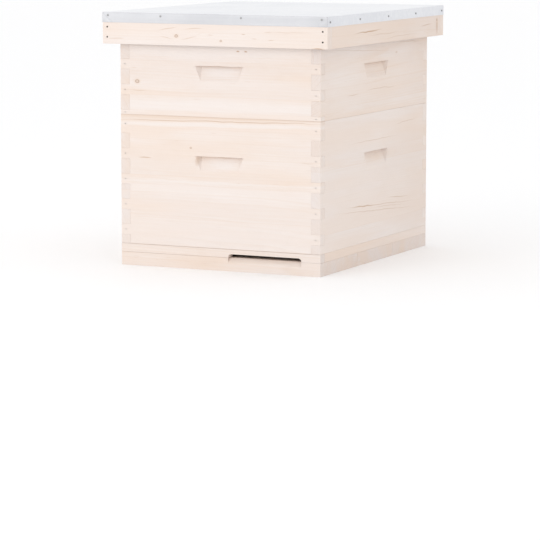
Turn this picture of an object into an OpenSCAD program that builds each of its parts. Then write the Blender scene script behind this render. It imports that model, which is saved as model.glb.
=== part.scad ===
// Ten-frame Langstroth hive: bottom board with an entrance reducer, deep brood box, medium super,
// inner cover and telescoping cover with a folded metal sheet, and ten hanging frames in each box.
// Millimetres, +Z up. The origin is the centre of the underside, and the entrance is at the front, -Y.

/* [Boxes] */
// Outside width of the boxes, along X
box_w = 413; // [405:1:440]
// Outside length of the boxes, along Y
box_l = 505; // [480:1:540]
// Thickness of the box boards
board_t = 19; // [17:0.5:20]
// Height of the deep brood box
deep_h = 244; // [240:1:300]
// Height of the medium super
super_h = 168; // [166:1:244]
// Height of the ledge that the frames hang on, down from the top of a box
rabbet_h = 16; // [14:0.5:18]
// Depth of that ledge into the front and rear boards
rabbet_d = 9.5; // [8.5:0.5:10]

/* [Finger joints] */
// Height of the top finger of the front and rear boards
top_finger_h = 35; // [30:0.5:40]
// Height of each finger of the side boards
side_finger_h = 28.5; // [20:0.5:30]
// Height of the other fingers of the front and rear boards
end_finger_h = 19.5; // [15:0.5:30]
// Head diameter of the brads through the fingers
brad_d = 2; // [1.5:0.1:4]

/* [Hand-holds] */
// Distance from the top of a box down to its hand-holds
hold_drop = 73; // [60:1:85]
// Width of a hand-hold in the front and rear boards
hold_w_end = 100; // [80:1:140]
// Width of a hand-hold in the side boards
hold_w_side = 112; // [80:1:140]
// Height of a hand-hold
hold_h = 26; // [20:1:35]
// Depth of a hand-hold at its ceiling
hold_d = 10; // [8:0.5:14]
// How far each end of a hand-hold leans in towards its lower edge
hold_lean = 11; // [4:1:20]
// How far each end of a hand-hold slopes in towards its deepest edge
hold_slope = 9; // [2:1:14]

/* [Bottom board] */
// Thickness of the floor planks
floor_t = 25; // [16:1:26]
// Height of the rails on the floor, which is also the depth of the reducer's seat
rail_h = 16; // [14:1:25]
// Width of the rails
rail_w = 19; // [16:1:25]
// Left end of the entrance, from the centre
entrance_x0 = 18; // [-160:1:40]
// Right end of the entrance, from the centre
entrance_x1 = 168; // [80:1:175]
// Height of the entrance
entrance_h = 7; // [7:0.5:13]
// Radius of the entrance's upper corners
entrance_r = 6.5; // [2:0.5:7]
// How far the ramp below the entrance drops from the floor to the front face
ramp_drop = 9; // [4:0.5:12]
// Length of that ramp, inwards from the front
ramp_l = 9; // [6:1:18]

/* [Inner cover] */
// Thickness of the panel
panel_t = 4; // [3:0.5:6]
// Height of the rim strips on top of the panel
strip_h = 6; // [5:0.5:8]
// Width of the rim strips
strip_w = 22; // [16:1:30]
// Length of the bee escape hole
escape_l = 90; // [60:1:110]
// Width of the bee escape hole
escape_w = 32; // [25:1:40]
// Width of the air notch in the front strip
air_notch_w = 30; // [15:1:50]

/* [Telescoping cover] */
// Room between the cover's rim and the boxes, all round
cover_room = 5; // [3:0.5:8]
// Thickness of the rim boards
rim_t = 19; // [15:0.5:22]
// Height of the rim boards
rim_h = 45; // [40:1:60]
// Thickness of the deck
deck_t = 13; // [9:0.5:18]
// Thickness of the metal sheet
sheet_t = 0.8; // [0.5:0.1:1.2]
// Depth of the sheet's flange, folded down over the rim
flange_h = 18; // [15:1:25]
// Head diameter of the sheet's nails
sheet_nail_d = 3.8; // [3.6:0.1:9]
// Number of nails along each side flange
side_nails = 5; // [3:1:9]
// Head diameter of the nails through the rim's corners
rim_nail_d = 3.2; // [2:0.1:5]

/* [Frames] */
// Number of frames in each box
frame_count = 10; // [10:1:10]
// Distance from one frame to the next
frame_pitch = 36; // [35.5:0.5:37]
// Length of a top bar, from lug to lug
top_bar_l = 482.6; // [470:0.1:483]
// Width of a top bar
top_bar_w = 27; // [25:0.5:28]
// Thickness of a top bar between the end bars
top_bar_t = 19; // [15:0.5:22]
// Thickness of a top bar's lugs
lug_t = 9.5; // [8:0.5:11]
// Length of a frame over its end bars
frame_l = 447.7; // [440:0.1:450]
// Thickness of the end bars
end_bar_t = 9.5; // [8:0.5:11]
// Width of an end bar's shoulders, which space the frames
shoulder_w = 35; // [34:0.1:35.2]
// Height of the shoulders, down from the top
shoulder_h = 84; // [60:1:90]
// Width of an end bar below its shoulders
end_bar_w = 28.6; // [26:0.1:30]
// Height of a deep frame
deep_frame_h = 232; // [225:1:233]
// Height of a medium frame
super_frame_h = 159; // [150:1:159]
// Width of a bottom bar
bottom_bar_w = 19; // [15:0.5:22]
// Thickness of a bottom bar
bottom_bar_t = 9.5; // [8:0.5:11]
// Thickness of the foundation sheet
foundation_t = 4; // [2:0.5:6]

/* [Hidden] */
$fn = 48;
cut = 1; // how far a cutting solid passes the face that it cuts
slip = 0.2; // gap beside pieces that slide or are fitted
plank_gap = 0.4; // joint between two floor planks
nail_l = 42;
shank_d = 2.4;
sheet_nail_head = 0.8; // how far a sheet nail's head stands out
sheet_nail_l = 22;
front_nail_x = [-0.475, -0.235, 0.125, 0.475]; // places along the front flange, as parts of its length
front_nail_drop = 5; // the front and rear flanges' nails, below the deck's top
side_nail_drop = 9.5; // the side flanges' nails, lower, so that the corner nails pass each other
corner_nail_in = 10; // the side flanges' end nails, in from the corner
rim_nail_z = [0.28, 0.7]; // places of the rim's corner nails, as parts of its height
pine = "#f3e3d3";
pine_side = "#ead7c4";
plywood = "#dcc29a";
frame_wood = "#ecd9b6";
metal = "#eceef4";
nail_steel = "#a8a8ac";

deep_z = floor_t + rail_h;
super_z = deep_z + deep_h;
inner_z = super_z + super_h;
deck_z = inner_z + panel_t + strip_h;
rim_z = deck_z - rim_h;
top_z = deck_z + deck_t;
cover_w = box_w + 2 * (cover_room + rim_t);
cover_l = box_l + 2 * (cover_room + rim_t);
finger_pitch = side_finger_h + end_finger_h;
plank_l = (box_l - 2 * plank_gap) / 3;
plank_step = plank_l + plank_gap;
side_rail_l = box_l - rail_w - slip;
body_l = frame_l - 2 * end_bar_t - 2 * slip; // a frame's clear length between its end bars

// A box centred on X and Y, standing on z = 0
module block(size) {
    translate([-size[0] / 2, -size[1] / 2, 0]) cube(size);
}

// The heights, from the bottom of a box, that its side boards' fingers fill
function side_fingers(h) =
    [for (z = h - top_finger_h; z > 0; z = z - finger_pitch) [max(0, z - side_finger_h), z]];

// The heights that the front and rear boards' fingers fill
function end_fingers(h) = concat(
    [[h - top_finger_h, h]],
    [for (f = side_fingers(h)) if (f[0] > 0) [max(0, f[0] - end_finger_h), f[0]]]);

// Cuts a board's two ends away over a list of heights. The board runs along X, from y = 0 to board_t.
module end_notches(length, heights, h) {
    for (f = heights, side = [-1, 1]) {
        low = f[0] == 0 ? -cut : f[0];
        high = f[1] == h ? h + cut : f[1];
        translate([side * length / 2, board_t / 2, low])
            translate([-board_t, -board_t / 2 - cut, 0]) cube([2 * board_t, board_t + 2 * cut, high - low]);
    }
}

// A hand-hold's space: a flat ceiling at z = 0, deepest there, sloping out to the face (y = 0) below and
// at both ends. It starts outside the face, so it is drawn larger there.
module hand_hold(width) {
    grow = (hold_d + cut) / hold_d;
    back = width / 2 - hold_slope;
    upper = back + hold_slope * grow;
    lower = back + (hold_slope - hold_lean) * grow;
    drop = -hold_h * grow;
    polyhedron([[-upper, -cut, 0], [upper, -cut, 0], [lower, -cut, drop], [-lower, -cut, drop],
                [-back, hold_d, 0], [back, hold_d, 0]],
               [[0, 1, 2, 3], [0, 4, 5, 1], [3, 2, 5, 4], [0, 3, 4], [1, 5, 2]]);
}

// A front board, with its outer face at y = 0 and its ledge for the frames inside
module end_board(h) {
    ledge_w = box_w - 2 * board_t;
    difference() {
        translate([-box_w / 2, 0, 0]) cube([box_w, board_t, h]);
        end_notches(box_w, side_fingers(h), h);
        translate([-ledge_w / 2, board_t - rabbet_d, h - rabbet_h])
            cube([ledge_w, rabbet_d + cut, rabbet_h + cut]);
        translate([0, 0, h - hold_drop]) hand_hold(hold_w_end);
    }
}

// A side board, built like the front board along X, and turned into place by its callers
module side_board(h) {
    difference() {
        translate([-box_l / 2, 0, 0]) cube([box_l, board_t, h]);
        end_notches(box_l, end_fingers(h), h);
        translate([0, 0, h - hold_drop]) hand_hold(hold_w_side);
    }
}

module front_of(z) { translate([0, -box_l / 2, z]) children(); }
module rear_of(z) { translate([0, box_l / 2, z]) rotate([0, 0, 180]) children(); }
module right_of(z) { translate([box_w / 2, 0, z]) rotate([0, 0, 90]) children(); }
module left_of(z) { translate([-box_w / 2, 0, z]) rotate([0, 0, -90]) children(); }

// A brad through each finger of a box's front and rear boards, flush with the wood
module brads(h) {
    for (f = end_fingers(h), side = [-1, 1])
        translate([side * (box_w - board_t) / 2, 0, (f[0] + f[1]) / 2])
            rotate([-90, 0, 0]) cylinder(h = nail_l, d = brad_d);
}

// Bottom board: three planks across, with rails round three sides and the reducer across the front
module floor_plank(n) {
    color(pine) translate([0, (n - 2) * plank_step, 0]) block([box_w, plank_l, floor_t]);
}
// The front plank's ramp is as wide as the entrance
module floor_front_plank() {
    over = cut * ramp_drop / ramp_l;
    color(pine) difference() {
        floor_plank(1);
        translate([entrance_x0, -box_l / 2, floor_t]) rotate([90, 0, 90])
            linear_extrude(entrance_x1 - entrance_x0)
                polygon([[-cut, -ramp_drop - over], [ramp_l + cut, over], [-cut, cut]]);
    }
}
module floor_middle_plank() { floor_plank(2); }
module floor_rear_plank() { floor_plank(3); }

module side_rail(side) {
    color(pine_side) translate([side * (box_w - rail_w) / 2, (rail_w + slip) / 2, floor_t])
        block([rail_w, side_rail_l, rail_h]);
}
module left_rail() { side_rail(-1); }
module right_rail() { side_rail(1); }
module rear_rail() {
    color(pine) translate([0, (box_l - rail_w) / 2, floor_t])
        block([box_w - 2 * rail_w, rail_w, rail_h]);
}

// The entrance's outline, open below, with rounded upper corners
module entrance_outline() {
    translate([entrance_x0, -cut])
        square([entrance_x1 - entrance_x0, entrance_h - entrance_r + cut]);
    translate([entrance_x0 + entrance_r, -cut])
        square([entrance_x1 - entrance_x0 - 2 * entrance_r, entrance_h + cut]);
    for (x = [entrance_x0 + entrance_r, entrance_x1 - entrance_r])
        translate([x, entrance_h - entrance_r]) circle(entrance_r);
}
module entrance_reducer() {
    color(pine) translate([0, -box_l / 2, floor_t + slip]) difference() {
        translate([-box_w / 2, 0, 0]) cube([box_w, rail_w, rail_h - 2 * slip]);
        translate([0, rail_w + cut, 0]) rotate([90, 0, 0])
            linear_extrude(rail_w + 2 * cut) entrance_outline();
    }
}

// Deep brood box
module deep_front_board() { color(pine) front_of(deep_z) end_board(deep_h); }
module deep_rear_board() { color(pine) rear_of(deep_z) end_board(deep_h); }
module deep_left_board() { color(pine_side) left_of(deep_z) side_board(deep_h); }
module deep_right_board() { color(pine_side) right_of(deep_z) side_board(deep_h); }
module deep_brads() {
    color(nail_steel) front_of(deep_z) brads(deep_h);
    color(nail_steel) rear_of(deep_z) brads(deep_h);
}

// Medium super
module super_front_board() { color(pine) front_of(super_z) end_board(super_h); }
module super_rear_board() { color(pine) rear_of(super_z) end_board(super_h); }
module super_left_board() { color(pine_side) left_of(super_z) side_board(super_h); }
module super_right_board() { color(pine_side) right_of(super_z) side_board(super_h); }
module super_brads() {
    color(nail_steel) front_of(super_z) brads(super_h);
    color(nail_steel) rear_of(super_z) brads(super_h);
}

// Inner cover: a thin panel with an oval bee escape hole, and a raised rim with an air notch in front
module inner_panel() {
    straight = escape_l - escape_w;
    color(plywood) translate([0, 0, inner_z]) difference() {
        block([box_w, box_l, panel_t]);
        translate([0, 0, -cut]) block([escape_w, straight, panel_t + 2 * cut]);
        for (y = [-straight / 2, straight / 2])
            translate([0, y, -cut]) cylinder(h = panel_t + 2 * cut, d = escape_w);
    }
}
module inner_front_strip() {
    color(pine) translate([0, (strip_w - box_l) / 2, inner_z + panel_t]) difference() {
        block([box_w, strip_w, strip_h]);
        translate([0, 0, -cut]) block([air_notch_w, strip_w + 2 * cut, strip_h + 2 * cut]);
    }
}
module inner_rear_strip() {
    color(pine) translate([0, (box_l - strip_w) / 2, inner_z + panel_t])
        block([box_w, strip_w, strip_h]);
}
module inner_side_strip(side) {
    color(pine_side) translate([side * (box_w - strip_w) / 2, 0, inner_z + panel_t])
        block([strip_w, box_l - 2 * strip_w, strip_h]);
}
module inner_left_strip() { inner_side_strip(-1); }
module inner_right_strip() { inner_side_strip(1); }

// Telescoping cover: a deck on four rim boards that reach down round the super
module cover_deck() {
    color(plywood) translate([0, 0, deck_z]) block([cover_w, cover_l, deck_t]);
}
module end_rim(side) {
    color(pine) translate([0, side * (cover_l - rim_t) / 2, rim_z]) block([cover_w, rim_t, rim_h]);
}
module cover_front_rim() { end_rim(-1); }
module cover_rear_rim() { end_rim(1); }
module side_rim(side) {
    color(pine_side) translate([side * (cover_w - rim_t) / 2, 0, rim_z])
        block([rim_t, cover_l - 2 * rim_t, rim_h]);
}
module cover_left_rim() { side_rim(-1); }
module cover_right_rim() { side_rim(1); }

// The metal sheet: a shallow tray turned over, lying on the deck and folded down over the edges
module cover_sheet() {
    color(metal) translate([0, 0, top_z - flange_h]) difference() {
        block([cover_w + 2 * sheet_t, cover_l + 2 * sheet_t, flange_h + sheet_t]);
        translate([0, 0, -cut]) block([cover_w, cover_l, flange_h + cut]);
    }
}

// A nail that points along +Y, with a flat head standing out of the face at y = 0
module headed_nail() {
    rotate([-90, 0, 0]) cylinder(h = sheet_nail_l, d = shank_d);
    translate([0, -sheet_nail_head, 0]) rotate([-90, 0, 0])
        cylinder(h = sheet_nail_head, d = sheet_nail_d);
}
module sheet_nails() {
    side_step = (cover_l - 2 * corner_nail_in) / (side_nails - 1);
    color(nail_steel) translate([0, 0, top_z]) {
        for (turn = [0, 180], f = front_nail_x)
            rotate([0, 0, turn])
                translate([f * cover_w, -cover_l / 2 - sheet_t, -front_nail_drop]) headed_nail();
        for (turn = [-90, 90], i = [0:side_nails - 1])
            rotate([0, 0, turn])
                translate([(i - (side_nails - 1) / 2) * side_step,
                           -cover_w / 2 - sheet_t, -side_nail_drop]) headed_nail();
    }
}
module rim_nails() {
    color(nail_steel) for (turn = [0, 180], side = [-1, 1], f = rim_nail_z)
        rotate([0, 0, turn])
            translate([side * (cover_w - rim_t) / 2, -cover_l / 2, rim_z + f * rim_h])
                rotate([-90, 0, 0]) cylinder(h = nail_l, d = rim_nail_d);
}

// Frames. Each is drawn about its own middle, with the undersides of its lugs at z = 0.
module top_bar() {
    translate([0, 0, lug_t - top_bar_t]) block([top_bar_w, body_l, top_bar_t]);
    block([top_bar_w, top_bar_l, lug_t]);
}
module end_bar(height) {
    bottom = lug_t - height;
    translate([0, (frame_l - end_bar_t) / 2, 0]) difference() {
        union() {
            translate([0, 0, bottom]) block([end_bar_w, end_bar_t, height]);
            translate([0, 0, lug_t - shoulder_h]) block([shoulder_w, end_bar_t, shoulder_h]);
        }
        translate([0, 0, -slip]) block([top_bar_w + 2 * slip, end_bar_t + 2 * cut, lug_t + cut]);
        translate([0, 0, bottom - cut])
            block([bottom_bar_w + 2 * slip, end_bar_t + 2 * cut, bottom_bar_t + cut + slip]);
    }
}
module hive_frame(height) {
    bottom = lug_t - height;
    low = bottom + bottom_bar_t + slip;
    high = lug_t - top_bar_t - slip;
    color(frame_wood) {
        top_bar();
        end_bar(height);
        rotate([0, 0, 180]) end_bar(height);
        translate([0, 0, bottom]) block([bottom_bar_w, frame_l, bottom_bar_t]);
        translate([0, 0, low]) block([foundation_t, body_l, high - low]);
    }
}
function frame_x(i) = (i - (frame_count + 1) / 2) * frame_pitch;
module deep_frame(i) {
    translate([frame_x(i), 0, super_z - rabbet_h]) hive_frame(deep_frame_h);
}
module super_frame(i) {
    translate([frame_x(i), 0, inner_z - rabbet_h]) hive_frame(super_frame_h);
}

floor_front_plank();
floor_middle_plank();
floor_rear_plank();
left_rail();
right_rail();
rear_rail();
entrance_reducer();
deep_front_board();
deep_rear_board();
deep_left_board();
deep_right_board();
deep_brads();
super_front_board();
super_rear_board();
super_left_board();
super_right_board();
super_brads();
inner_panel();
inner_front_strip();
inner_rear_strip();
inner_left_strip();
inner_right_strip();
cover_deck();
cover_front_rim();
cover_rear_rim();
cover_left_rim();
cover_right_rim();
cover_sheet();
sheet_nails();
rim_nails();
for (i = [1:frame_count]) {
    deep_frame(i);
    super_frame(i);
}
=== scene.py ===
"""Looks for a ten-frame Langstroth hive: bare pine boxes under a cover with a bright metal sheet.

The packed CAD model is the frame. Its boards stay, with eased edges and a wood of their own; the metal
sheet and the hanging frames are replaced by more detailed pieces. Names that end in _mm are lengths in
millimetres, and so is every length and place that is given for a board's wood.
"""
import math
import random
from collections import namedtuple

import bmesh
import bpy
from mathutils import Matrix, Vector, noise


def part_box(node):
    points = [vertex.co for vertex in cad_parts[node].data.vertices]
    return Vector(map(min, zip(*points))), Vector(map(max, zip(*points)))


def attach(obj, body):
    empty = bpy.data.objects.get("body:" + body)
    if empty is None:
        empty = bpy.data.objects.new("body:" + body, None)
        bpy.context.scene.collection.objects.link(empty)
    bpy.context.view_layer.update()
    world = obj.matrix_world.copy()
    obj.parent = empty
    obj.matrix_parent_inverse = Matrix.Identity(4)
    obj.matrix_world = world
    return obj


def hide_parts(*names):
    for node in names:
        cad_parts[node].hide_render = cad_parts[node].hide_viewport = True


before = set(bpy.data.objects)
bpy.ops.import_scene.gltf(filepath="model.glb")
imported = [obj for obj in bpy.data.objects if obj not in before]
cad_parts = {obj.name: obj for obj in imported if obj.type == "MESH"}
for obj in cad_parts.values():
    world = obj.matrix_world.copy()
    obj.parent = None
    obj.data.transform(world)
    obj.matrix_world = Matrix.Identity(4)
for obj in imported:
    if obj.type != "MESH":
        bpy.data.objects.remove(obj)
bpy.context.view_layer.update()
MM = 0.001


# ---------------------------------------------------------------- camera, floor and light

def add_camera():
    """A long lens from the front right, a little above the cover, like a product photograph."""
    down_degrees = 7.88
    turned_degrees = 25.56
    data = bpy.data.cameras.new("camera")
    data.lens = 184.3
    data.clip_end = 100
    camera = bpy.data.objects.new("camera", data)
    camera.location = (2.285, -4.812, 0.707)
    camera.rotation_euler = (math.radians(90 - down_degrees), 0, math.radians(turned_degrees))
    bpy.context.scene.collection.objects.link(camera)
    bpy.context.scene.camera = camera


def add_area_light(name, location, aim, size, power):
    data = bpy.data.lights.new(name, "AREA")
    data.shape = "DISK"
    data.size = size
    data.energy = power
    light = bpy.data.objects.new(name, data)
    light.location = location
    light.rotation_euler = (Vector(aim) - Vector(location)).to_track_quat("-Z", "Y").to_euler()
    bpy.context.scene.collection.objects.link(light)


def add_stage():
    """A wide pale floor, a white sky for soft fill, and a large soft lamp low on the front left."""
    bpy.ops.mesh.primitive_plane_add(size=60)
    floor = bpy.context.object
    floor.name = "floor"
    shader = Shader("floor_white")
    shader.set("Base Color", (0.97, 0.97, 0.975, 1))
    shader.set("Roughness", 0.8)
    floor.data.materials.append(shader.material)
    world = bpy.data.worlds.new("studio")
    world.use_nodes = True
    sky = world.node_tree.nodes["Background"].inputs
    sky["Color"].default_value = (1, 1, 1, 1)
    sky["Strength"].default_value = 1.02
    bpy.context.scene.world = world
    bpy.context.scene.view_settings.view_transform = "Standard"
    hive_middle = (0, 0, 0.25)
    add_area_light("key", (-1.3, -3.6, 1.2), hive_middle, 2.3, 22)


# ---------------------------------------------------------------- shader helpers

class Shader:
    """A material with short calls for the nodes that this scene uses."""

    def __init__(self, name):
        self.material = bpy.data.materials.new(name)
        self.material.use_nodes = True
        self.nodes = self.material.node_tree.nodes
        self.links = self.material.node_tree.links
        self.surface = self.nodes["Principled BSDF"]

    def put(self, socket, value):
        if isinstance(value, bpy.types.NodeSocket):
            self.links.new(value, socket)
        else:
            socket.default_value = value

    def set(self, name, value):
        self.put(self.surface.inputs[name], value)

    def add(self, kind, inputs=(), **settings):
        node = self.nodes.new("ShaderNode" + kind)
        for key, value in settings.items():
            setattr(node, key, value)
        for key, value in dict(inputs).items():
            self.put(node.inputs[key], value)
        return node

    def math(self, operation, *values):
        return self.add("Math", enumerate(values), operation=operation).outputs[0]

    def vector(self, operation, *values):
        return self.add("VectorMath", enumerate(values), operation=operation).outputs[0]

    def split(self, vector):
        """The three parts of a vector."""
        return self.add("SeparateXYZ", {0: vector}).outputs

    def join(self, *parts):
        """The vector that has these three parts."""
        return self.add("CombineXYZ", enumerate(parts)).outputs[0]

    def total(self, *values):
        """The sum of several numbers or sockets."""
        result = values[0]
        for value in values[1:]:
            result = self.math("ADD", result, value)
        return result

    def product(self, *values):
        """Several numbers or sockets multiplied together."""
        result = values[0]
        for value in values[1:]:
            result = self.math("MULTIPLY", result, value)
        return result

    def step(self, value, low, high, to_low=0.0, to_high=1.0):
        """A smooth step: to_low where value is under low, to_high where it is over high."""
        inputs = {"Value": value, "From Min": low, "From Max": high, "To Min": to_low, "To Max": to_high}
        return self.add("MapRange", inputs, interpolation_type="SMOOTHSTEP").outputs[0]

    def noise(self, place, scales, detail=2.0, roughness=0.5):
        """Noise from 0 to 1 with its own scale along each axis of place."""
        inputs = {"Vector": self.vector("MULTIPLY", place, scales), "Scale": 1.0,
                  "Detail": detail, "Roughness": roughness}
        return self.add("TexNoise", inputs).outputs[0]

    def draw(self, number, scale):
        """A value from 0 to 1 for a whole number, such as a ring's, that is the same every time."""
        inputs = {"W": number, "Scale": scale, "Detail": 0.0}
        return self.add("TexNoise", inputs, noise_dimensions="1D").outputs[0]

    def swing(self, value, amount):
        """A value from 0 to 1 turned into -amount/2 to amount/2."""
        return self.product(self.math("SUBTRACT", value, 0.5), amount)

    def mix(self, factor, a, b, blend="MIX"):
        node = self.add("Mix", data_type="RGBA", blend_type=blend)
        self.put(node.inputs[0], factor)
        self.put(node.inputs[6], a)
        self.put(node.inputs[7], b)
        return node.outputs[2]

    def bump(self, height, distance, strength):
        inputs = {"Height": height, "Distance": distance, "Strength": strength}
        self.set("Normal", self.add("Bump", inputs).outputs[0])


def rgba(r, g, b):
    return (r, g, b, 1.0)


def grey(value):
    return rgba(value, value, value)


# ---------------------------------------------------------------- wood

# The darkest streak colour serves grain marks and also painted shade: along the box seams, in the
# hand-holds and towards the rear of the right faces.
PINE = {"early": rgba(0.808, 0.710, 0.650), "late": rgba(0.750, 0.600, 0.490),
        "warm": rgba(0.808, 0.680, 0.592), "cool": rgba(0.798, 0.715, 0.668),
        "pale": rgba(0.83, 0.77, 0.74), "dash_and_shade": rgba(0.50, 0.31, 0.18), "knot": rgba(0.33, 0.19, 0.11)}
PLYWOOD = {"early": rgba(0.78, 0.66, 0.50), "late": rgba(0.68, 0.52, 0.36),
           "warm": rgba(0.76, 0.60, 0.42), "cool": rgba(0.80, 0.70, 0.56),
           "pale": rgba(0.83, 0.74, 0.62), "dash_and_shade": rgba(0.42, 0.27, 0.15), "knot": rgba(0.30, 0.18, 0.10)}
BASSWOOD = {"early": rgba(0.82, 0.71, 0.56), "late": rgba(0.74, 0.60, 0.43),
            "warm": rgba(0.81, 0.67, 0.49), "cool": rgba(0.84, 0.75, 0.63),
            "pale": rgba(0.86, 0.79, 0.69), "dash_and_shade": rgba(0.50, 0.35, 0.20), "knot": rgba(0.36, 0.22, 0.12)}

# What end grain multiplies the wood's colour by, in its pores and between them.
END_PORES = rgba(0.915, 0.92, 0.935)
END_GRAIN = rgba(0.955, 0.96, 0.975)

Mark = namedtuple("Mark", "along across length height amount slope colour", defaults=(0.0, "dash_and_shade"))
# A streak in the wood, or painted light or painted shade: its centre, half its length and height in
# millimetres, how strong it is, how much it climbs along the grain, and its colour in the palette.
Mark.__doc__ = """A streak in the wood: its centre, half its length and height in millimetres, how strong
it is, how much it climbs along the grain, and its colour in the palette."""


class Wood(Shader):
    """The wood of a board, worked out for every point in it, so that its faces and ends agree.

    along, across and through are a point's distances from the board's middle. grain is the point's
    place in the tree, which no two boards share, and late is how much of it is dark late wood. Each
    method from plain_wood on goes over the colour that the ones before it have left. The scales of
    noises are per millimetre.
    """

    def __init__(self, name, axes, middle, seed, palette, strips, per_object):
        super().__init__(name)
        self.palette = palette
        place = self.add("TexCoord").outputs
        from_middle = self.vector("SUBTRACT", place["Object"], tuple(middle))
        xyz = self.split(self.vector("MULTIPLY", from_middle, (1 / MM,) * 3))
        self.along, self.across, self.through = (xyz["XYZ".index(axis)] for axis in axes)
        board = self.join(self.along, self.across, self.through)
        self.grain = self.vector("ADD", board, (seed * 713.0, seed * 191.0, seed * 57.0))
        if per_object:
            where = self.split(self.add("ObjectInfo").outputs["Location"])[0]
            self.move_grain(self.product(where, 9000.0))
        self.strip = 0.0
        for edge in strips:
            self.strip = self.math("ADD", self.strip, self.math("GREATER_THAN", self.across, edge))
        if strips:
            self.move_grain(self.product(self.strip, 331.0))
        facing = self.split(place["Normal"])["XYZ".index(axes[0])]
        self.end = self.step(self.math("ABSOLUTE", facing), 0.55, 0.8)
        self.patch = self.grain_noise(0.004, 0.03)
        self.fibre = self.grain_noise(0.012, 1.0, detail=4, roughness=0.65)
        self.hair = self.grain_noise(0.030, 0.55)
        self.pores = self.noise(self.grain, (0.9, 0.9, 0.9), detail=3)

    def move_grain(self, distance):
        """Takes this wood from elsewhere in the tree."""
        self.grain = self.vector("ADD", self.grain, self.join(distance, distance, distance))

    def grain_noise(self, along_scale, across_scale, **details):
        """Noise with one scale along the grain and another one across it."""
        return self.noise(self.grain, (along_scale, across_scale, across_scale), **details)

    def oval(self, across, centre, radii):
        """Distance from an oval's centre: 0 there, 1 on its edge."""
        dx = self.math("DIVIDE", self.math("SUBTRACT", self.along, centre[0]), radii[0])
        dy = self.math("DIVIDE", self.math("SUBTRACT", across, centre[1]), radii[1])
        return self.math("SQRT", self.total(self.product(dx, dx), self.product(dy, dy)))

    def tint(self, factor, colour):
        self.colour = self.mix(factor, self.colour, self.palette[colour])

    def grow_rings(self, pith, spacing, tilt, wander, knots, swirls):
        """Growth rings round the pith, which bend round the knots and swirls."""
        wobble = self.swing(self.grain_noise(0.0022, 0.009), wander)
        ripple = self.swing(self.grain_noise(0.009, 0.07, detail=1), 1.1)
        side = self.math("SUBTRACT", self.across, pith[0])
        deep = self.total(self.product(self.along, tilt), self.through, pith[1])
        from_pith = self.math("SQRT", self.total(self.product(side, side), self.product(deep, deep)))
        field = self.total(from_pith, wobble, ripple, self.product(self.strip, 17.3))
        for *centre, radius in knots:
            near = self.oval(self.across, centre, (radius * 4.5, radius * 2.6))
            field = self.total(field, self.step(near, 0.0, 1.0, radius * 2.4, 0.0))
        for *centre, length, height, lift in swirls:
            near = self.total(self.oval(self.across, centre, (length, height)), self.swing(wobble, 0.06))
            field = self.total(field, self.step(near, 0.1, 1.0, lift, 0.0))
        phase = self.math("DIVIDE", field, spacing)
        part = self.math("FRACT", phase)
        each = self.draw(self.math("FLOOR", phase), 0.83)
        self.late = self.product(self.step(part, 0.25, 0.9), self.step(part, 0.92, 1.0, 1.0, 0.0),
                                 self.step(each, 0.35, 0.7, 0.12, 1.0))

    def plain_wood(self, rings):
        """Broad tones and clouds, then the rings, the fibre and short dark hairs."""
        tone = self.grain_noise(0.0014, 0.014, detail=3)
        cloud = self.grain_noise(0.006, 0.018, detail=4, roughness=0.6)
        self.colour = self.mix(self.step(tone, 0.38, 0.62), self.palette["warm"], self.palette["cool"])
        self.tint(0.15, "early")
        self.tint(self.step(self.patch, 0.48, 0.70, 0.0, 0.45), "pale")
        self.tint(self.step(cloud, 0.52, 0.75, 0.0, 0.30), "late")
        strength = self.product(self.step(self.patch, 0.35, 0.65, 0.45 * rings, 1.3 * rings),
                                self.total(1.0, self.end))
        self.tint(self.product(self.late, strength), "late")
        self.tint(self.step(self.fibre, 0.35, 0.7, 0.0, 0.22), "late")
        on_face = self.math("SUBTRACT", 1.0, self.end)
        self.hairs = self.product(self.step(self.hair, 0.68, 0.78), on_face,
                                  self.step(self.patch, 0.45, 0.62, 0.15, 1.0))
        self.tint(self.product(self.hairs, 0.32), "dash_and_shade")

    def glued_strips(self, strips, seed):
        """Gives each strip its own shade, and shows the glue lines between them."""
        shade = self.draw(self.total(self.strip, seed), 3.7)
        glue = 0.0
        for edge in strips:
            gap = self.math("ABSOLUTE", self.math("SUBTRACT", self.across, edge))
            glue = self.math("MAXIMUM", glue, self.step(gap, 0.2, 0.9, 1.0, 0.0))
        self.tint(self.step(shade, 0.3, 0.7, 0.0, 0.4), "pale")
        self.tint(self.product(glue, 0.22), "late")

    def streaks_and_painted_light(self, marks):
        # Draws the marks: streaks and patches in the wood, and painted light and painted shade where a
        # board is given them.
        waver = self.swing(self.grain_noise(0.025, 0.003, detail=1), 5.0)
        for mark in marks:
            climb = self.product(self.math("SUBTRACT", self.along, mark.along), mark.slope)
            climbed = self.total(self.across, self.product(climb, -1.0), waver)
            near = self.total(self.oval(climbed, (mark.along, mark.across), (mark.length, mark.height)),
                              self.swing(self.fibre, 0.9), self.swing(self.patch, 0.6))
            self.tint(self.step(near, 0.25, 1.0, mark.amount, 0.0), mark.colour)

    def knotty(self, knots):
        """Knots with a soft halo, rings of their own and a dark rim. Small ones are fainter inside."""
        for *centre, radius in knots:
            near = self.total(self.oval(self.across, centre, (radius * 1.25, radius)),
                              self.swing(self.hair, 0.5))
            self.tint(self.step(near, 1.0, 2.3, 0.45, 0.0), "late")
            fill = min(0.75, radius / 9)
            ring = self.step(self.math("SINE", self.product(near, 19.0)), -1, 1, 0.4 * fill, fill)
            rim = self.product(self.step(near, 0.45, 0.85), self.step(near, 0.9, 1.15, 1.0, 0.0))
            core = self.math("MAXIMUM", self.product(self.step(near, 0.85, 1.1, 1.0, 0.0), ring), rim)
            self.tint(self.product(core, 0.7), "knot")

    def darker_ends(self, amount):
        shade = self.mix(self.step(self.pores, 0.3, 0.7), END_PORES, END_GRAIN)
        shaded = self.mix(1.0, self.colour, shade, "MULTIPLY")
        self.colour = self.mix(self.product(self.end, amount), self.colour, shaded)

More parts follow.
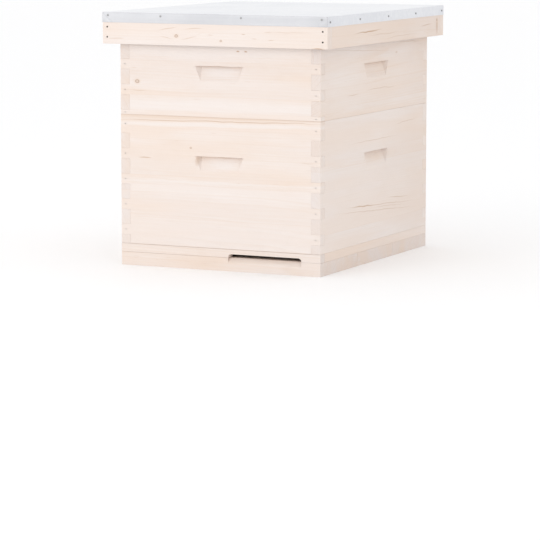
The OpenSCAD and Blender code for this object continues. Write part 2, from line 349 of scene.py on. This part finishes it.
    def dirty_shaded_seams(self, half_height, amount):
        # Darkens the two long edges: dirt, and painted shade in the joint between the boxes.
        from_edge = self.math("SUBTRACT", half_height, self.math("ABSOLUTE", self.across))
        dirt = self.step(self.patch, 0.3, 0.7, 0.45 * amount, amount)
        self.tint(self.product(self.step(from_edge, 0.4, 1.9, 1.0, 0.0), dirt), "dash_and_shade")

    def surfaced(self):
        """Sets the colour, and a dry sawn surface that follows the fibre."""
        self.set("Base Color", self.colour)
        self.set("Roughness", self.step(self.fibre, 0.2, 0.8, 0.52, 0.70))
        self.surface.inputs["Specular IOR Level"].default_value = 0.30
        relief = self.total(self.product(self.fibre, 0.8), self.product(self.late, 0.5),
                            self.product(self.hairs, -0.5), self.product(self.pores, self.end))
        self.bump(relief, 0.00022, 0.6)


def wood(name, axes, middle, seed, palette=PINE, pith=(-170, 240), spacing=3.4, tilt=0.012, wander=13,
         rings=0.22, strips=(), knots=(), swirls=(), marks=(), seam=None, seam_dirt_and_shade=0.3, ends=1.0,
         per_object=False):
    """A board's sawn wood.

    axes names the object's axes along the grain, across the board's face and through its thickness.
    middle is the board's centre. pith is where the rings centre, across and through the board, from
    there. spacing is how far apart they are, tilt how much the board leans along them, wander how far
    they stray, and rings how dark they are. strips are the glue lines of a board made of several
    strips, by their place across it. A knot is (along, across, radius), and a swirl, where the grain
    flows round a burl, is (along, across, half length, half height, lift). seam is half the height of
    a board whose two long edges are grimy, by that much, where it meets the next box. ends is how much
    darker end grain is. per_object gives each object its own piece of wood.
    """
    made = Wood(name, axes, middle, seed, palette, strips, per_object)
    made.grow_rings(pith, spacing, tilt, wander, knots, swirls)
    made.plain_wood(rings)
    if strips:
        made.glued_strips(strips, seed)
    made.streaks_and_painted_light(marks)
    made.knotty(knots)
    made.darker_ends(ends)
    if seam:
        made.dirty_shaded_seams(seam, seam_dirt_and_shade)
    made.surfaced()
    return made.material


# ---------------------------------------------------------------- metal and wax

def sheet_metal():
    """Bright galvanised sheet: faint spangle, rolling marks and a few rubbed patches.

    The flanges are rougher than the top. Those at the front and rear are also darker.
    """
    s = Shader("sheet_metal")
    place = s.add("TexCoord").outputs
    cells = s.add("TexVoronoi", {"Vector": place["Object"], "Scale": 150.0, "Randomness": 1.0})
    spangle = s.add("SeparateColor", {0: cells.outputs["Color"]}).outputs[0]
    rolled = s.noise(place["Object"], (4.0, 260.0, 260.0), detail=3)
    cloud = s.noise(place["Object"], (9.0, 9.0, 9.0), detail=4)
    side, end, top = (s.math("ABSOLUTE", part) for part in s.split(place["Normal"]))
    colour = s.mix(s.step(spangle, 0.0, 1.0, 0.0, 0.5), rgba(0.80, 0.81, 0.84), rgba(0.87, 0.875, 0.895))
    colour = s.mix(s.step(cloud, 0.45, 0.75, 0.0, 0.35), colour, rgba(0.74, 0.755, 0.79))
    # Painted shade: darker front and rear flanges, and a little on the left and right ones.
    painted_flange_shade = s.total(s.product(side, 0.1), s.product(end, 0.68))
    s.set("Base Color", s.mix(painted_flange_shade, colour, rgba(0.57, 0.57, 0.585)))
    s.surface.inputs["Metallic"].default_value = 0.82
    flange = s.step(top, 0.8, 0.99, 1.0, 0.0)
    uneven = s.total(s.swing(rolled, 0.16), s.swing(cloud, 0.22))
    s.set("Roughness", s.total(0.36, uneven, s.product(flange, 0.25)))
    s.bump(s.total(rolled, s.product(spangle, 0.25)), 0.00012, 0.35)
    return s.material


def nail_metal(name, dark, light):
    """Plain steel, dulled, with a little dirt, between two greys."""
    s = Shader(name)
    place = s.add("TexCoord").outputs["Object"]
    cloud = s.noise(place, (700.0, 700.0, 700.0), detail=3)
    s.set("Base Color", s.mix(s.step(cloud, 0.35, 0.7), grey(dark), grey(light)))
    s.surface.inputs["Metallic"].default_value = 0.7
    s.set("Roughness", s.step(cloud, 0.2, 0.8, 0.35, 0.6))
    s.bump(cloud, 0.0001, 0.4)
    return s.material


def beeswax():
    """Yellow wax, a little uneven in its colour and its shine."""
    s = Shader("wax")
    place = s.add("TexCoord").outputs["Object"]
    cloud = s.noise(place, (22.0, 22.0, 22.0), detail=4)
    fine = s.noise(place, (900.0, 900.0, 900.0), detail=2)
    colour = s.mix(s.step(cloud, 0.3, 0.7), rgba(0.80, 0.56, 0.19), rgba(0.87, 0.69, 0.33))
    colour = s.mix(s.step(fine, 0.4, 0.8, 0.0, 0.25), colour, rgba(0.68, 0.44, 0.13))
    s.set("Base Color", colour)
    s.set("Roughness", s.step(cloud, 0.2, 0.8, 0.38, 0.55))
    s.surface.inputs["Subsurface Weight"].default_value = 0.15
    s.surface.inputs["Subsurface Radius"].default_value = (0.004, 0.002, 0.001)
    s.bump(fine, 0.0001, 0.5)
    return s.material


# ---------------------------------------------------------------- CAD boards and nails

def ease_edges(made, width_mm):
    """Takes the sharp edges off a CAD solid, as a plane or sandpaper does."""
    weld = made.modifiers.new("weld", "WELD")
    weld.merge_threshold = 0.01 * MM
    bevel = made.modifiers.new("eased_edges", "BEVEL")
    bevel.width = width_mm * MM
    bevel.segments = 2
    bevel.limit_method = "ANGLE"
    bevel.angle_limit = math.radians(40)


def dress(node, material, eased_mm=0):
    """Gives a CAD node its finish and, where asked, eased edges."""
    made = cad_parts[node]
    made.data.materials.clear()
    made.data.materials.append(material)
    if eased_mm:
        ease_edges(made, eased_mm)


# The axes along the grain, across the face and through the thickness.
FRONT_BOARD = ("X", "Z", "Y")
SIDE_BOARD = ("Y", "Z", "X")
FLAT_ACROSS = ("X", "Y", "Z")
FLAT_ALONG = ("Y", "X", "Z")


def dress_board(node, axes, seed, **details):
    low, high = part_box(node)
    dress(node, wood("wood_" + node, axes, (low + high) / 2, seed, **details), 0.6)


def pale(along, across, length, height, amount, slope=0.0):
    """A light patch or band in the wood."""
    return Mark(along, across, length, height, amount, slope, "pale")


def pale_band(across, height, amount, slope=0.0):
    """A light band over the whole length of a board."""
    return pale(0, across, 420, height, amount, slope)


def streaks(seed, half_length, half_height, count):
    """Resin streaks scattered over a board, the same ones every time."""
    dice = random.Random(seed)
    return [Mark(dice.uniform(-0.8, 0.8) * half_length, dice.uniform(-0.8, 0.8) * half_height,
                 dice.uniform(14, 70), dice.uniform(0.8, 1.5), dice.uniform(0.35, 0.65),
                 dice.uniform(-0.04, 0.04))
            for _ in range(count)]


def dress_super():
    front = {"seam": 84, "ends": 0.3}
    side = {"seam": 84, "seam_dirt_and_shade": 0.08, "rings": 0.3}
    # Painted light on this board: the pale band at 40 lifts the shadow that the cover's rim casts just
    # under it, and the pale patch at (2, -1) lifts the shade in the hand-hold, where the thin dark line at
    # (-8, 10) is a painted shadow under its top.
    dress_board("super_front_board", FRONT_BOARD, 1.3, **front, strips=(-75, -46), knots=[(-171, -21, 3.4)],
                marks=[pale_band(-64, 17, 0.6), pale_band(40, 28, 0.75), pale(2, -1, 52, 15, 0.7),
                       Mark(-8, 10, 46, 1.3, 0.4), Mark(39, 39, 5, 2.2, 0.8), Mark(55, 40, 5, 2.2, 0.8),
                       Mark(-168, -38, 24, 1.0, 0.35)])
    dress_board("super_rear_board", FRONT_BOARD, 2.7, **front, strips=(-20, 40), knots=[(90, 20, 7)],
                marks=streaks(2, 190, 84, 6))
    dress_board("super_left_board", SIDE_BOARD, 3.1, **side, ends=0.6, pith=(-130, 110),
                knots=[(-110, -30, 6)], marks=streaks(3, 230, 84, 6))
    # Painted light and shade on this face: the pale band at (-90, 44) lifts the shadow of the cover's rim
    # along the top, and the faint dark mark centred at 280, past the rear end, is painted shade that grows
    # towards the rear.
    dress_board("super_right_board", SIDE_BOARD, 4.9, **side, pith=(32, 52), spacing=4.2, tilt=0.02,
                marks=[pale(-180, -10, 220, 90, 0.4), pale(-90, 44, 240, 20, 0.6),
                       Mark(280, 0, 200, 180, 0.07), Mark(26, -40, 85, 1.0, 0.35),
                       Mark(-108, -45, 35, 1.1, 0.4), Mark(-70, 36, 183, 0.9, 0.35, -0.05),
                       Mark(98, 24, 9, 3.5, 0.3), Mark(160, 42, 80, 1.3, 0.4, -0.03)])


def dress_deep():
    front = {"seam": 122, "ends": 0.3}
    side = {"seam": 122, "seam_dirt_and_shade": 0.08}
    # Painted light and shade in the hand-hold: the pale patch at (8, 36) lifts its shade, the thin dark
    # line at (10, 48) is a painted shadow under its top, and the mark at (-46, 38) is painted shade on its
    # left end wall.
    dress_board("deep_front_board", FRONT_BOARD, 5.2, **front, strips=(-70, -7, 10), knots=[(-59, 64, 1.5)],
                marks=[Mark(-155, 42.5, 15, 1.1, 0.6), pale_band(108, 6.0, 0.7, 0.014),
                       Mark(-120, 120, 420, 5.0, 0.6, 0.010, "late"), Mark(0, 115, 300, 1.1, 0.6, 0.014),
                       Mark(-188, 27, 1.0, 9, 0.45), Mark(180, 45, 22, 1.0, 0.3),
                       pale_band(0, 4.0, 0.5, 0.004), pale(-20, -16, 380, 24, 0.4, -0.02),
                       pale(210, -10, 90, 30, 0.4), pale(8, 36, 46, 15, 0.6),
                       Mark(10, 48, 40, 1.2, 0.5), Mark(-46, 38, 7, 12, 0.35)])
    dress_board("deep_rear_board", FRONT_BOARD, 6.6, **front, strips=(-50, 30),
                knots=[(-60, -40, 9), (120, 60, 5)], marks=streaks(6, 190, 122, 8))
    dress_board("deep_left_board", SIDE_BOARD, 7.4, **side, ends=0.6, strips=(-20,), rings=0.3,
                knots=[(140, -50, 8)], marks=streaks(7, 230, 122, 8))
    # Painted shade on this face: the faint dark mark centred at 280, past the rear end, grows towards the
    # rear, and the orange mark at (0, 38) darkens the hand-hold.
    dress_board("deep_right_board", SIDE_BOARD, 8.3, **side, pith=(150, -160), strips=(-88, 30),
                marks=[Mark(280, 0, 320, 240, 0.11), Mark(110, -50, 70, 1.1, 0.5, -0.05),
                       Mark(-60, -52, 60, 1.4, 0.55, -0.04), Mark(-4, 70, 126, 1.0, 0.35),
                       Mark(32, -57, 209, 1.0, 0.42, -0.05), Mark(4, -66, 221, 0.9, 0.4, -0.06),
                       Mark(60, -63, 90, 0.8, 0.35, -0.05), Mark(148, 94, 67, 1.0, 0.35, 0.04),
                       Mark(241, -42, 4, 1.8, 0.8), Mark(0, 38, 60, 14, 0.4, 0.0, "late")])


def dress_bottom_board():
    dress_board("entrance_reducer", FRONT_BOARD, 9.5)
    dress_board("left_rail", SIDE_BOARD, 10.1)
    dress_board("right_rail", SIDE_BOARD, 11.9)
    dress_board("rear_rail", FRONT_BOARD, 12.2)
    dress_board("floor_front_plank", FLAT_ACROSS, 13.4, pith=(60, 80), knots=[(60, 10, 8)])
    dress_board("floor_middle_plank", FLAT_ACROSS, 14.8, pith=(-80, 70))
    dress_board("floor_rear_plank", FLAT_ACROSS, 15.3, pith=(90, 90), knots=[(-120, -30, 6)])


def dress_inner_cover():
    dress_board("inner_front_strip", FLAT_ACROSS, 16.6)
    dress_board("inner_rear_strip", FLAT_ACROSS, 17.1)
    dress_board("inner_left_strip", FLAT_ALONG, 18.7)
    dress_board("inner_right_strip", FLAT_ALONG, 19.9)
    dress_board("inner_panel", FLAT_ALONG, 24.4, palette=PLYWOOD, pith=(0, 160), spacing=9, wander=34)


def dress_outer_cover():
    dress_board("cover_front_rim", FRONT_BOARD, 20.3, rings=0.3, ends=0.3,
                knots=[(-76, -5, 2.6), (16, -12, 1.7)], swirls=[(-70, 1, 50, 13, 16)],
                marks=[pale_band(0, 80, 0.4), Mark(62, 1, 8, 1.1, 0.7), Mark(-200, -12, 22, 1.0, 0.45),
                       Mark(213, -22, 16, 1.6, 0.7), Mark(84, -6, 9, 1.0, 0.5),
                       Mark(118, -9, 10, 1.0, 0.45), Mark(112, 6, 12, 0.9, 0.35),
                       Mark(-6, -2, 10, 1.0, 0.4), Mark(-40, 9, 24, 1.0, 0.4),
                       Mark(150, 6, 60, 0.9, 0.3), Mark(-96, 8, 24, 1.1, 0.4, 0.2),
                       Mark(-98, -8, 20, 1.1, 0.35, -0.15), Mark(-50, -8, 22, 1.1, 0.35, 0.15)])
    dress_board("cover_rear_rim", FRONT_BOARD, 21.8, rings=0.3, ends=0.3, knots=[(100, 0, 5)],
                marks=streaks(21, 220, 22, 5))
    dress_board("cover_left_rim", SIDE_BOARD, 22.5, rings=0.3, knots=[(-80, 2, 4)],
                marks=streaks(22, 250, 22, 5))
    # Painted shade: the faint dark mark centred at 280, past the rear end, darkens the rim more towards the
    # rear.
    dress_board("cover_right_rim", SIDE_BOARD, 23.2, rings=0.3, knots=[(243, 9, 2.2)],
                marks=[Mark(280, 0, 480, 200, 0.1), Mark(-98, 1.5, 80, 1.7, 0.85, 0.025),
                       Mark(-20, -6, 90, 0.9, 0.35), Mark(244, -2, 8, 22, 0.45),
                       Mark(60, -14, 120, 0.9, 0.3, 0.02), Mark(190, 1, 34, 1.3, 0.5, 0.02)])
    dress_board("cover_deck", FLAT_ACROSS, 25.6, palette=PLYWOOD, pith=(0, 170), spacing=9, wander=34)


def dress_nails():
    dress("sheet_nails", nail_metal("nail_steel", 0.28, 0.44), 0.15)
    # The rim nails get a lighter copy of the same steel: painted light that makes up for the darker look of
    # their flush heads in the rims' upright faces.
    dress("rim_nails", nail_metal("rim_nail_steel_painted_light", 0.42, 0.58))
    brad_steel = nail_metal("brad_steel", 0.66, 0.80)
    dress("deep_brads", brad_steel)
    dress("super_brads", brad_steel)


# ---------------------------------------------------------------- solids

def prism(bm, outline_mm, axis, low_mm, high_mm):
    """Adds a closed solid: an outline drawn on the other two axes, in their order, pushed along axis."""
    before = "XYZ".index(axis)
    ends = []
    for level in (low_mm, high_mm):
        points = [(*spot[:before], level, *spot[before:]) for spot in outline_mm]
        ends.append([bm.verts.new([c * MM for c in point]) for point in points])
    faces = [bm.faces.new(ends[0]), bm.faces.new(ends[1])]
    for i in range(len(outline_mm)):
        faces.append(bm.faces.new([ends[0][i - 1], ends[0][i], ends[1][i], ends[1][i - 1]]))
    bmesh.ops.recalc_face_normals(bm, faces=faces)


def mirrored(half):
    """The outline that a right half and its mirror image make."""
    return half + [(-u, v) for u, v in reversed(half)]


def sharp(bm, degrees=40):
    """The edges where two faces meet at more than this angle."""
    return [e for e in bm.edges if len(e.link_faces) == 2 and e.calc_face_angle() > math.radians(degrees)]


def bevel_edges(bm, edges, width_mm, segments=2):
    bmesh.ops.bevel(bm, geom=edges, offset=width_mm * MM, offset_type="OFFSET", segments=segments,
                    profile=0.5, affect="EDGES", clamp_overlap=True)


def smooth_faces(bm):
    """Makes all faces smooth. Sharp and open edges stay sharp."""
    for face in bm.faces:
        face.smooth = True
    for edge in sharp(bm, 50) + [e for e in bm.edges if e.is_boundary]:
        edge.smooth = False


def mesh_from(bm, name, material):
    mesh = bpy.data.meshes.new(name)
    bm.to_mesh(mesh)
    bm.free()
    mesh.materials.append(material)
    return mesh


def add_piece(name, mesh, location, body, nodes=()):
    """Puts a mesh in place as a piece of a body, standing for those CAD nodes."""
    piece = bpy.data.objects.new(name, mesh)
    bpy.context.scene.collection.objects.link(piece)
    piece.location = location
    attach(piece, body)
    if nodes:
        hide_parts(*nodes)
    return piece


# ---------------------------------------------------------------- cover sheet

SHEET_MM = 0.5     # thickness
FOLD_MM = 1.0      # radius of its folds
DENT_MM = 0.3      # how far the top sinks at most
DENT_EDGE_MM = 90  # how far in from the edge the top reaches its full waves
BEND_MM = 0.28     # how far a flange's lower edge bends in at most
ALONG = 48         # faces along each side, the same for the top and its flanges so that they join
DOWN = 4           # faces down a flange


def add_grid(bm, corner, right, up, columns, rows, dent):
    """Adds a grid of faces from a corner along two directions, moved at each point by what dent gives."""
    verts = []
    for j in range(rows + 1):
        for i in range(columns + 1):
            point = corner + right * (i / columns) + up * (j / rows)
            verts.append(bm.verts.new(point + dent(point, i in (0, columns), j / rows)))
    for j in range(rows):
        for i in range(columns):
            first = j * (columns + 1) + i
            above = first + columns + 1
            bm.faces.new([verts[first], verts[first + 1], verts[above + 1], verts[above]])


def add_cover_sheet(material):
    """The metal sheet: a thin tray turned over, a little wavy, with rounded folds."""
    low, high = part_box("cover_sheet")
    corners = [Vector((x, y, high.z)) for x, y in ((low.x, low.y), (high.x, low.y), (high.x, high.y),
                                                   (low.x, high.y))]
    down = Vector((0, 0, low.z - high.z))

    def top_dent(point, _on_side, _share):
        from_edge = min(high.x - abs(point.x), high.y - abs(point.y))
        wave = 0.55 + 0.45 * noise.noise(point * 14.0 + Vector((3.1, 7.7, 0.4)))
        return Vector((0, 0, -DENT_MM * MM * wave * min(1.0, from_edge / (DENT_EDGE_MM * MM))))

    def flange_dent(inward):
        def dent(point, on_side, share):
            if on_side or share == 1.0:
                return Vector()
            wave = 0.5 + 0.5 * noise.noise(point * 26.0 + Vector((9.0, 2.0, 5.0)))
            return inward * (BEND_MM * MM * wave * (1.0 - share))
        return dent

    bm = bmesh.new()
    add_grid(bm, corners[0], corners[1] - corners[0], corners[3] - corners[0], ALONG, ALONG, top_dent)
    for start, stop in zip(corners, corners[1:] + corners[:1]):
        inward = Vector((0, 0, 1)).cross(stop - start).normalized()
        add_grid(bm, start + down, stop - start, -down, ALONG, DOWN, flange_dent(inward))
    bmesh.ops.remove_doubles(bm, verts=bm.verts, dist=0.01 * MM)
    bmesh.ops.recalc_face_normals(bm, faces=bm.faces)
    bevel_edges(bm, sharp(bm, 60), FOLD_MM, 4)
    smooth_faces(bm)
    piece = add_piece("cover_sheet_metal", mesh_from(bm, "cover_sheet_metal", material), (0, 0, 0),
                      "outer_cover", ["cover_sheet"])
    thick = piece.modifiers.new("thickness", "SOLIDIFY")
    thick.thickness = SHEET_MM * MM
    thick.offset = -1.0
    thick.use_even_offset = True


def add_corner_laps(material):
    """The flanges' corner laps: at each corner a tab of the side flange is folded over the end flange."""
    low, high = (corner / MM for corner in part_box("cover_sheet"))
    lap_mm = 21.0    # from the corner to the lap's short inner edge
    slant_mm = 1.5   # how far that edge leans
    foot_mm = 2.5    # how high it ends, over the flange's lower edge
    point_mm = 3.0   # how far under the fold the lap's point is
    margin_mm = 0.8  # between the lap and the corner, and under it
    tab_mm = 0.55    # how far the lap stands off the flange
    sunk_mm = 0.1    # how far it reaches into the flange
    bm = bmesh.new()
    for side in (-1, 1):
        tip = side * (high.x - margin_mm)
        inner = side * (high.x - lap_mm)
        outline = [(tip, low.z + margin_mm), (inner, low.z + margin_mm),
                   (inner + side * slant_mm, low.z + foot_mm), (tip, high.z - point_mm)]
        prism(bm, outline, "Y", low.y - tab_mm, low.y + sunk_mm)
        prism(bm, outline, "Y", high.y - sunk_mm, high.y + tab_mm)
    bevel_edges(bm, sharp(bm), 0.2)
    smooth_faces(bm)
    add_piece("cover_sheet_laps", mesh_from(bm, "cover_sheet_laps", material), (0, 0, 0),
              "outer_cover")


# ---------------------------------------------------------------- frames

# A frame is drawn about its own middle, with the undersides of its lugs at z = 0. The slots and the
# groove of the bottom bar are measured from the frame's underside.
LUG_MM = 9.5              # height of the lugs
TOP_BAR_MM = 19.0         # height of the top bar
TOP_BAR_HALF_MM = 13.5    # half its width
BETWEEN_HALF_MM = 214.1   # half its length between the end bars
FRAME_HALF_MM = 223.85    # half the frame's length over its end bars
END_BAR_MM = 9.5          # thickness of an end bar
SHOULDER_HALF_MM = 17.45  # half its width at the shoulder
SHOULDER_Z_MM = -60.0     # underside of the shoulder
FOOT_HALF_MM = 14.3       # half the end bar's width below it
FOOT_Z_MM = -74.4         # where the foot starts, under the shoulder's slope
CHAMFER_MM = (1.25, 4.0)  # across and down, on the end bar's top corners
BOTTOM_BAR_MM = 9.4       # height of the bottom bar
BOTTOM_BAR_HALF_MM = 9.5  # half its width
BOTTOM_SLOT_MM = 9.7      # height of its slot in the end bars
GROOVE_HALF_MM = 2.6      # half the width of the groove in its top
GROOVE_Z_MM = 6.0         # height of the groove's floor
PLAY_MM = 0.2             # gap beside a bar in its slot and round the wax


def end_bar_outline(low_mm):
    """An end bar: a foot with a slot for the bottom bar, and a shoulder with a slot for the top bar."""
    bottom_slot = BOTTOM_BAR_HALF_MM + PLAY_MM
    top_slot = TOP_BAR_HALF_MM + PLAY_MM
    chamfer_across, chamfer_down = CHAMFER_MM
    return mirrored([(bottom_slot, low_mm + BOTTOM_SLOT_MM), (bottom_slot, low_mm),
                     (FOOT_HALF_MM, low_mm), (FOOT_HALF_MM, FOOT_Z_MM),
                     (SHOULDER_HALF_MM, SHOULDER_Z_MM), (SHOULDER_HALF_MM, LUG_MM - chamfer_down),
                     (SHOULDER_HALF_MM - chamfer_across, LUG_MM), (top_slot, LUG_MM),
                     (top_slot, -PLAY_MM)])


def frame_mesh(name, material, height_mm, lug_end_mm):
    """A frame: a top bar with lugs, two shouldered end bars and a grooved bottom bar."""
    low = LUG_MM - height_mm
    under = LUG_MM - TOP_BAR_MM
    bm = bmesh.new()
    top_bar = mirrored([(BETWEEN_HALF_MM, under), (BETWEEN_HALF_MM, 0), (lug_end_mm, 0),
                        (lug_end_mm, LUG_MM)])
    prism(bm, top_bar, "X", -TOP_BAR_HALF_MM, TOP_BAR_HALF_MM)
    for y in (-FRAME_HALF_MM, FRAME_HALF_MM - END_BAR_MM):
        prism(bm, end_bar_outline(low), "Y", y, y + END_BAR_MM)
    bottom_bar = mirrored([(BOTTOM_BAR_HALF_MM, low), (BOTTOM_BAR_HALF_MM, low + BOTTOM_BAR_MM),
                           (GROOVE_HALF_MM, low + BOTTOM_BAR_MM), (GROOVE_HALF_MM, low + GROOVE_Z_MM)])
    prism(bm, bottom_bar, "Y", -FRAME_HALF_MM, FRAME_HALF_MM)
    bevel_edges(bm, sharp(bm), 0.6)
    smooth_faces(bm)
    return mesh_from(bm, name, material)


def cell_triangles(columns, rows):
    """The triangles of a sheet of hexagonal cells, round the cells' centres, and the centres inside it.

    Points are on a lattice of whole numbers, half a cell apart by a third of a row. Cells that cross
    the edge are cut off there, so that the sheet is a rectangle.
    """
    corner_steps = [(0, 2), (-1, 1), (-1, -1), (0, -2), (1, -1), (1, 1)]
    right, top = 2 * columns, 3 * rows
    triangles = []
    centres = set()
    for row in range(rows + 1):
        for column in range(columns + 1 - row % 2):
            i, j = 2 * column + row % 2, 3 * row
            if 0 < i < right and 0 < j < top:
                centres.add((i, j))
            ring = [(min(max(i + di, 0), right), min(max(j + dj, 0), top)) for di, dj in corner_steps]
            for b, c in zip(ring, ring[1:] + ring[:1]):
                if (b[0] - i) * (c[1] - j) != (b[1] - j) * (c[0] - i):
                    triangles.append(((i, j), b, c))
    return triangles, centres


def foundation_mesh(name, material, width_mm, low_mm, high_mm):
    """A sheet of wax foundation on the YZ plane, with a raised wall round each cell on both faces."""
    cell_mm, wall_mm, pit_mm = 5.4, 1.9, 0.7
    columns = round(width_mm / cell_mm)
    rows = round((high_mm - low_mm) / (cell_mm * math.sqrt(3) / 2))
    step_y = width_mm / columns / 2
    step_z = (high_mm - low_mm) / rows / 3
    triangles, centres = cell_triangles(columns, rows)
    bm = bmesh.new()
    verts = {}
    for side in (-1, 1):
        for triangle in triangles:
            for i, j in triangle:
                if (side, i, j) not in verts:
                    depth = pit_mm if (i, j) in centres else wall_mm
                    point = (side * depth, i * step_y - width_mm / 2, low_mm + j * step_z)
                    verts[side, i, j] = bm.verts.new([c * MM for c in point])
            corners = [verts[side, i, j] for i, j in triangle]
            bm.faces.new(corners if side > 0 else corners[::-1])
    lattice_of = {vert: key for key, vert in verts.items()}
    for edge in [e for e in bm.edges if e.is_boundary]:
        (side, *a), (_, *b) = (lattice_of[vert] for vert in edge.verts)
        if side > 0:
            bm.faces.new([verts[1, *a], verts[1, *b], verts[-1, *b], verts[-1, *a]])
    bmesh.ops.recalc_face_normals(bm, faces=bm.faces)
    return mesh_from(bm, name, material)


def add_frames():
    """Ten frames with foundation in each box. Those of one box share a mesh."""
    bar_wood = wood("frame_wood", FLAT_ALONG, (0, 0, 0), 30.0, palette=BASSWOOD, pith=(-90, 120),
                    spacing=2.6, rings=0.3, per_object=True)
    wax = beeswax()
    for box in ("deep", "super"):
        low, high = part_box(f"{box}_frame_1")
        height_mm = (high.z - low.z) / MM
        bars = frame_mesh(f"{box}_frame_wood", bar_wood, height_mm, high.y / MM)
        comb = foundation_mesh(f"{box}_foundation", wax, 2 * (BETWEEN_HALF_MM - PLAY_MM),
                               LUG_MM - height_mm + BOTTOM_BAR_MM + PLAY_MM, LUG_MM - TOP_BAR_MM - PLAY_MM)
        for i in range(1, 11):
            node = f"{box}_frame_{i}"
            low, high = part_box(node)
            place = ((low.x + high.x) / 2, 0, high.z - LUG_MM * MM)
            add_piece(node + "_wood", bars, place, node, [node])
            add_piece(node + "_wax", comb, place, node)


# ---------------------------------------------------------------- main

add_camera()
add_stage()
dress_super()
dress_deep()
dress_bottom_board()
dress_inner_cover()
dress_outer_cover()
dress_nails()
bright_sheet = sheet_metal()
add_cover_sheet(bright_sheet)
add_corner_laps(bright_sheet)
add_frames()
